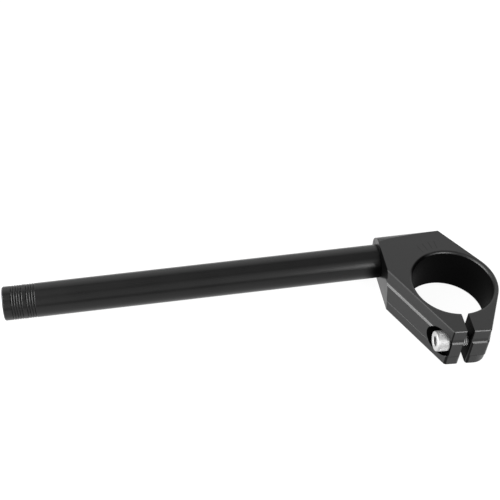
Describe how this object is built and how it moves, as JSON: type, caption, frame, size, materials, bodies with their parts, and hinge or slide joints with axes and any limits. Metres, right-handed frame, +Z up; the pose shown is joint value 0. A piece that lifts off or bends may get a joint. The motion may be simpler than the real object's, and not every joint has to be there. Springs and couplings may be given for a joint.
{
  "type": "clip on handlebar",
  "caption": "Clip on handlebar: a split clamp, closed on the fork tube by a pinch bolt, holds a straight hollow grip bar in a socket beside its bore.",
  "frame": {"origin": "on the fork bore's axis, at half the clamp's height", "axes": "+Z up the fork bore, bar leaving along -X and dropping as it goes, slit opening to -Y"},
  "size_m": [0.3134, 0.0934, 0.0478],
  "materials": {
    "clamp": "black anodised, satin",
    "bar": "black anodised, satin",
    "bolt": "bright zinc plated"
  },
  "bodies": {
    "root": {"fork_clamp": "clamp", "bar_tube": "bar", "pinch_bolt": "bolt"}
  },
  "joints": []
}
